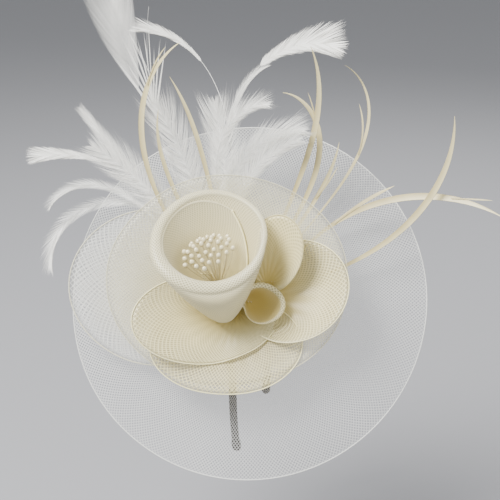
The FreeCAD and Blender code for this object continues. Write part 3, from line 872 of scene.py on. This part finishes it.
def rolled_cone(node, materials, grid, tip, mouth, normal, radii, rim, turns, start,
                lift, belly, sway, uneven, depth, skew=0.0, round_off=0.0, hemmed=False):
    """A trumpet rolled from one length of braid, folded double at its soft, round rim.
    lift draws the outer end inwards, belly rounds the wall, sway waves the rim, uneven makes
    one side of the rim fuller, depth is how gathered the inner wall looks, skew turns the
    outer end, and round_off lowers its corner. The wall deepens to gold towards the tip,
    partly the stacked braid and partly painted shade deep in the cone."""
    columns, rows = grid
    low, high = radii
    folded = INNER_SHARE + RIM_SHARE

    def profile(b):
        """Share of the trumpet's height, the extra radius and the height over its mouth."""
        if b <= INNER_SHARE:
            return b / INNER_SHARE, 0.0, 0.0
        if b <= folded:
            turn = (b - INNER_SHARE) / RIM_SHARE * pi
            return 1.0, rim * (1 - cos(turn)), rim * sin(turn) * 0.65
        t = 1 - (b - INNER_SHARE - RIM_SHARE) / (1 - INNER_SHARE - RIM_SHARE)
        return t, 2 * rim * t ** 0.6, 0.0

    def place(a, b):
        t, extra, over = profile(b)
        t *= 1 - round_off * max(0.0, (a - 0.86) / 0.14) ** 2
        middle, side, up, out = cone_frame(tip, mouth, normal, t)
        turn = start - a * turns * tau + a ** 8 * skew * (t ** 3 - 0.4)
        radius = low + (high - low) * t ** belly - 1.3 * a * turns * t
        ease = max(0.0, (a - 0.80) / 0.20)
        radius -= lift * ease * ease * t ** 1.2
        tuck = max(0.0, 1 - a / 0.12) ** 2
        radius -= 3.0 * tuck * t
        wave = sway * t * (sin(2 * turn + 0.7) + 0.6 * sin(3 * turn + 2.0))
        fuller = 1 + uneven * cos(turn - FULL_SIDE)
        lip = (1 - 0.8 * a) * (1 - 0.75 * tuck) * fuller
        radius = max(0.25, radius + wave * 0.5) + extra * lip
        ring = side * cos(turn) + up * sin(turn)
        return middle + ring * radius + out * (over * lip + wave - (2.0 * a + 2.0 * tuck) * t)

    def weave(a, b):
        around = a * turns * tau * high
        if b <= INNER_SHARE:
            return around, b / INNER_SHARE * high * 1.9
        if b <= folded:
            return around, high * 1.9 + (b - INNER_SHARE) / RIM_SHARE * high * 0.40
        return around, high * (2.3 + 1.3 * (b - INNER_SHARE - RIM_SHARE) / 0.40)

    def gather(a, b):
        t, _, _ = profile(b)
        # The inner wall gathers towards the tip and the outer wall a little near it, so the colour
        # deepens there: partly stacked braid, partly painted shade.
        if b <= INNER_SHARE:
            return depth + (0.95 - depth) * (1 - t) ** 0.8
        if b <= folded:
            return 0.10
        return 0.10 + 0.36 * min(1.0, (1 - t) * 5)

    bm = bmesh.new()
    patch(bm, columns, rows, place, weave, gather)
    if hemmed:
        hem(bm, [place(0, n / rows) for n in range(4, 40)], 0.4)
        hem(bm, [place(1, n / rows) for n in range(8, 34)], 0.9)
    piece = flower_piece(bm, node + "_mesh", materials, node)


class FASCINATOR_OT_cup(bpy.types.Operator):
    """Rolls the flower's cup, and the small golden roll at its foot."""

    bl_idname = "fascinator.cup"
    bl_label = "Cup"

    def execute(self, context):
        s, c = sizes(), colours()
        cream, gold = c.crin_cream, c.crin_gold
        grey = blended(cream, c.crin_pale, 0.25)
        # The deep colours of the cup and the roll fill their gathered insides: partly the stacked
        # braid's gold, partly painted shade deep inside them. The cup's last value is how much shade
        # is painted into its gaps.
        wall = crinoline("crin_cup", grey, blended(cream, gold, 0.5),
                         0.16, 0.38, 0.84, 1.3, 0.48)
        deep = crinoline("crin_roll", cream, (0.50, 0.37, 0.09), 0.18, 0.5, 0.92, 1.2)
        rim = petal_hem()
        tilt = radians(17)
        rolled_cone(
            "flower_cup", [wall, rim], (220, 60), Vector((-13, -27, 31)),
            Vector((-25, 41, 66)), Vector((0, sin(tilt), cos(tilt))),
            (0.4, s.cup_mouth_radius / MM), rim=s.cup_lip / MM, turns=1.91,
            start=radians(12), lift=2.5, belly=0.62, sway=2.2, uneven=0.3, depth=0.25,
            skew=radians(58), round_off=0.07, hemmed=True)
        rolled_cone(
            "petal_roll", [deep, rim], (90, 40), Vector((3, -5, 29)),
            Vector((18, -12, 41)), Vector((0.28, 0.12, 0.95)), (1.2, 16.5), rim=2.2,
            turns=1.08, start=radians(205), lift=1.5, belly=0.75, sway=1.5, uneven=-0.6,
            depth=0.6)
        return {"FINISHED"}


class FASCINATOR_OT_stamens(bpy.types.Operator):
    """Stands the stamens in the cup."""

    bl_idname = "fascinator.stamens"
    bl_label = "Stamens"

    def execute(self, context):
        s, c = sizes(), colours()
        thread = plain_material("stamen_cord", (0.66, 0.58, 0.34), 0.6, 0.1, 900.0)
        g = Graph("pearl", roughness=0.18, coat_weight=0.6)
        # Painted shade: each pearl is darker on its side towards the brim and lighter on its upper
        # side.
        top = g.gather()
        shade = tuple(x * 0.72 for x in c.pearl)
        g.set("Base Color", g.mix(top.clamped(), shade, c.pearl))
        root, head = Vector((-20, 4, 40)), Vector((-30, 33, 64))
        along = (head - root).normalized()
        side = (Vector((1, 0, 0)) - along * along.x).normalized()
        up = along.cross(side)
        stems, pearls = bmesh.new(), bmesh.new()
        layer = pearls.verts.layers.float.new("gather")
        rng = random.Random(21)
        for n in range(s.stamen_count):
            share = sqrt((n + 0.5) / s.stamen_count)
            turn = GOLDEN_TURN * n
            spread = side * cos(turn) + up * sin(turn)
            foot = root + spread * (share * 1.7)
            tip = head + spread * (share * 24) - along * (6 * share ** 2)
            tip += along * (2.5 * sin(2.4 * n))
            sag = spread * (share * rng.uniform(1, 3.5)) + along * rng.uniform(1, 3)
            points = [foot.lerp(tip, k / 8) + sag * sin(pi * (k / 8)) for k in range(9)]
            tube(stems, points, lambda t: 0.36, sides=5, up=side)
            lean = (tip - points[-2]).to_track_quat("Z", "Y").to_matrix().to_4x4()
            size = s.pearl_radius / MM * rng.uniform(0.92, 1.05)
            made = bmesh.ops.create_uvsphere(
                pearls, u_segments=12, v_segments=8, radius=size,
                matrix=Matrix.Translation(tip) @ lean @ Matrix.Diagonal((1, 1, 1.22, 1)))["verts"]
            for v in made:
                # Low values on the pearl's lower side and high ones on its upper side: painted shade
                # under the heads.
                v[layer] = 0.5 + 0.6 * (v.co - tip).z / size
        flower_piece(stems, "stamen_threads", [thread], "stamen_stems")
        flower_piece(pearls, "stamen_heads", [g.material], "stamen_pearls")
        return {"FINISHED"}


def barb(bm, base, along, side, normal, angle, length, width, curve, lift, tone):
    """One barb: a thin strip that leaves the shaft at an angle and curves towards its tip."""
    out = along * cos(angle) + side * sin(angle)
    flat = normal.cross(out).normalized()
    flat = (flat + normal * (0.9 * (tone - 0.5))).normalized()

    def place(a, b):
        bend = along * (curve * b * b * length) + normal * (lift * b * b * length)
        wide = width * (1 - b) ** 0.6 * (0.5 + 2 * b if b < 0.25 else 1.0)
        return base + out * (length * b) + bend + flat * (wide * (a - 0.5))

    patch(bm, 1, 4, place, lambda a, b: (tone, b), lambda a, b: b)


def reach_of(kind, a):
    """How far a feather's barbs reach at a share of its vane."""
    if kind == "spatula":
        return 0.15 + 0.85 * a ** 1.3
    start, used, fullness = OUTLINES.get(kind, (0.05, 0.88, 0.7))
    return sin(pi * (start + used * a)) ** fullness


def feather(name, materials):
    """A shaft with two rows of barbs."""
    kind, count, wide, root_angle, tip_angle, mess, curve = BARBS[name]
    length, width, start = FEATHERS[name][5], FEATHERS[name][7], FEATHERS[name][8]
    frames = feather_course(name)
    quill = sizes().quill_radius / MM
    swing, spread = (0.0, 0.45) if kind == "blade" else (0.25, 0.25)
    room = 2
    bm = bmesh.new()
    tube(bm, [f[0] for f in frames], lambda t: max(0.12, quill * (1 - 0.85 * t)))
    rng = random.Random(name)
    for hand in (-1, 1):
        clump = 0.0
        for n in range(count):
            a = (n + rng.random() * mess) / count
            share = start + (0.985 - start) * a
            angle = radians(root_angle + (tip_angle - root_angle) * a)
            if n % CLUMP == 0:
                clump = rng.uniform(-1, 1) * mess
            angle *= 1 + 0.35 * clump + rng.uniform(-0.35, 0.35) * mess
            if kind != "plume":
                angle *= (1 - a ** 6) ** 0.5
            reach = width / 2 * reach_of(kind, a) / max(0.2, sin(max(angle, 0.16)))
            if kind == "spatula":
                room = 11 * (1 - 1.6 * angle ** 2)
            reach = min(reach, (1 - share) * length * 1.1 + room)
            reach *= 1 - rng.random() * mess * 0.6
            if kind == "fan":
                spike = n // SPIKE
                share = start + 0.0022 * n
                angle = radians(21 - 4.4 * spike + hand)
                reach = 66 + 11 * cos(spike * 2.3 + hand) - (n % SPIKE) * 3.5
            point, along, side, normal, _ = on_course(frames, share)
            lift = rng.uniform(-0.5, 0.5) * mess + (0.10 if kind == "plume" else 0.03)
            bend = curve * (1 + rng.uniform(-0.5, 0.5) * mess)
            tone = 0.5 + swing * sin(n * 0.23 + hand) + rng.uniform(-spread, spread)
            barb(bm, point, along, side * hand, normal, angle, reach, wide, bend, lift, tone)
    flower_piece(bm, name + "_barbs", [materials[kind]], name)


class FASCINATOR_OT_feathers(bpy.types.Operator):
    """Makes the feathers, barb by barb."""

    bl_idname = "fascinator.feathers"
    bl_label = "Feathers"

    def execute(self, context):
        white = colours().feather
        leaf = feather_material("feather_leaf", white, 0.20, 0.0)
        sheer = feather_material("feather_sheer", white, 0.55, 0.10)
        bright = feather_material("feather_bright", white, 0.95, 0.1)
        down = feather_material("feather_down", white, 0.72, 0.40)
        kinds = {"blade": leaf, "fan": sheer, "spatula": bright, "hackle": down, "plume": down}
        for name in BARBS:
            feather(name, kinds)
        return {"FINISHED"}


def blade(bm, frames, width, root_share=0.07):
    """A stripped quill: a lens-shaped blade along a course, folded a little at its middle."""
    count = len(frames) - 1

    def place(a, b):
        n = min(count, round(b * count))
        point, _, side, normal, _ = frames[n]
        share = n / count
        swell = sin(pi * (root_share + (0.985 - root_share) * share ** 1.8)) ** 0.9
        half = max(0.08, width * 0.47 * swell)
        turn = a * tau
        x = cos(turn)
        thick = 0.42 * min(1.0, half / 1.2)
        z = sin(turn) * thick * (1.05 - abs(x)) + (1 - abs(x)) * 0.32 * half * 0.6
        return point + side * (half * x) + normal * z

    made = patch(bm, 12, count, place, weave=lambda a, b: (a, b), gather=lambda a, b: b)
    bmesh.ops.remove_doubles(bm, verts=made, dist=1e-4)


class FASCINATOR_OT_quills(bpy.types.Operator):
    """Makes the stripped quills, with the thin splinters at their tips."""

    bl_idname = "fascinator.quills"
    bl_label = "Stripped quills"

    def execute(self, context):
        c = colours()
        g = Graph("stripped_quill", roughness=0.36)
        way = g.gather()
        grain = g.noise(60.0, 3.0)
        round_it, _ = g.weave()
        # Painted shade across each blade: one edge gets the dark root colour and the other the pale
        # quill colour. The quills are also darker towards their roots, and grain adds random tone.
        edge = g.math("PINGPONG", round_it * 2.0, 1.0)
        depth = ((way * 1.4 - 0.3).clamped() * 0.45 + edge * 0.75 + (grain - 0.5) * 0.5).clamped()
        g.set("Base Color", g.mix(depth, c.quill_shade, c.quill))
        for name, settings in FEATHERS.items():
            if not name.startswith("biot"):
                continue
            frames = feather_course(name, 70)
            bm = bmesh.new()
            blade(bm, frames, settings[7])
            for leaves, lean, turn, length, width in SPLINTERS.get(name, []):
                point, along, _, _, angle = on_course(frames, leaves)
                rise = along.z / max(0.2, hypot(along.x, along.y))
                branch = run_course(
                    point, degrees(angle) + lean, turn, 1.2, length, 24,
                    lambda t: point.z + rise * length * t + 0.6)
                blade(bm, branch, width, 0.2)
            outward(bm)
            flower_piece(bm, name + "_blade", [g.material], name)
        return {"FINISHED"}


class FASCINATOR_OT_threads(bpy.types.Operator):
    """Finishes the stitches, the ties and the stamens' stalk."""

    bl_idname = "fascinator.threads"
    bl_label = "Threads"

    def execute(self, context):
        thread = plain_material("sewing_thread", (0.60, 0.52, 0.30), 0.6, 0.12, 1200.0)
        for name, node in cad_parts.items():
            if "stitches" in name or "_tie" in name or name == "stamen_stalk":
                finish_cad(node, thread)
        return {"FINISHED"}


class FASCINATOR_OT_stage(bpy.types.Operator):
    """Sets the floor, the lights and the camera."""

    bl_idname = "fascinator.stage"
    bl_label = "Stage"

    def execute(self, context):
        scene = context.scene
        bm = bmesh.new()
        bmesh.ops.create_grid(bm, x_segments=1, y_segments=1, size=14.0)
        bmesh.ops.translate(bm, verts=bm.verts, vec=(0, 0, -0.30))
        g = Graph("floor", roughness=0.8)
        g.set("Base Color", colours().floor)
        link_mesh(bm, "floor", [g.material])

        world = bpy.data.worlds.new("studio")
        world.use_nodes = True
        sky = world.node_tree.nodes["Background"].inputs
        sky[0].default_value = (0.82, 0.84, 0.87, 1)
        sky[1].default_value = 0.78
        scene.world = world
        scene.cycles.transparent_max_bounces = 48

        middle = brim_matrix() @ Vector((0, 0, 40))
        for name, at, size, power in (
            ("key", (-0.8, -0.9, 1.5), 0.8, 105.0),
            ("fill", (1.5, -1.1, 0.5), 1.2, 14.0),
            ("back", (0.2, 1.3, 1.2), 1.2, 30.0),
        ):
            light = bpy.data.lights.new(name, "AREA")
            light.size = size
            light.energy = power
            lamp = bpy.data.objects.new(name, light)
            lamp.location = at
            lamp.rotation_euler = (middle - Vector(at)).to_track_quat("-Z", "Y").to_euler()
            scene.collection.objects.link(lamp)

        camera = bpy.data.cameras.new("camera")
        camera.lens = 81
        camera.sensor_width = 36
        eye = bpy.data.objects.new("camera", camera)
        scene.collection.objects.link(eye)
        azimuth, elevation, distance = radians(14), radians(20), 1.0
        right = Vector((cos(azimuth), sin(azimuth), 0))
        back = Vector((sin(azimuth) * cos(elevation),
                       -cos(azimuth) * cos(elevation), sin(elevation)))
        up = back.cross(right)
        aim = brim_matrix().translation + right * 0.003556 + up * 0.041778
        turn = Matrix((right, up, back)).transposed().to_4x4()
        eye.matrix_world = Matrix.Translation(aim + back * distance) @ turn
        scene.camera = eye
        return {"FINISHED"}


class FASCINATOR_PT_panel(bpy.types.Panel):
    """Lists the pieces and the sizes."""

    bl_idname = "FASCINATOR_PT_panel"
    bl_label = "Fascinator"
    bl_space_type = "VIEW_3D"
    bl_region_type = "UI"
    bl_category = "Fascinator"

    def draw(self, context):
        layout = self.layout
        for group in (context.scene.fascinator_sizes, context.scene.fascinator_colours):
            box = layout.box()
            for key in group.__annotations__:
                box.prop(group, key)
        for operator in OPERATORS:
            layout.operator(operator.bl_idname)


OPERATORS = (
    FASCINATOR_OT_headband,
    FASCINATOR_OT_base,
    FASCINATOR_OT_brim,
    FASCINATOR_OT_petals,
    FASCINATOR_OT_cup,
    FASCINATOR_OT_stamens,
    FASCINATOR_OT_feathers,
    FASCINATOR_OT_quills,
    FASCINATOR_OT_threads,
    FASCINATOR_OT_stage,
)
CLASSES = (FascinatorSizes, FascinatorColours, *OPERATORS, FASCINATOR_PT_panel)


def register():
    for item in CLASSES:
        bpy.utils.register_class(item)
    bpy.types.Scene.fascinator_sizes = bpy.props.PointerProperty(type=FascinatorSizes)
    bpy.types.Scene.fascinator_colours = bpy.props.PointerProperty(type=FascinatorColours)


def unregister():
    del bpy.types.Scene.fascinator_sizes
    del bpy.types.Scene.fascinator_colours
    for item in reversed(CLASSES):
        bpy.utils.unregister_class(item)


def main():
    register()
    for operator in OPERATORS:
        group, name = operator.bl_idname.split(".")
        getattr(getattr(bpy.ops, group), name)()


if __name__ == "__main__":
    main()
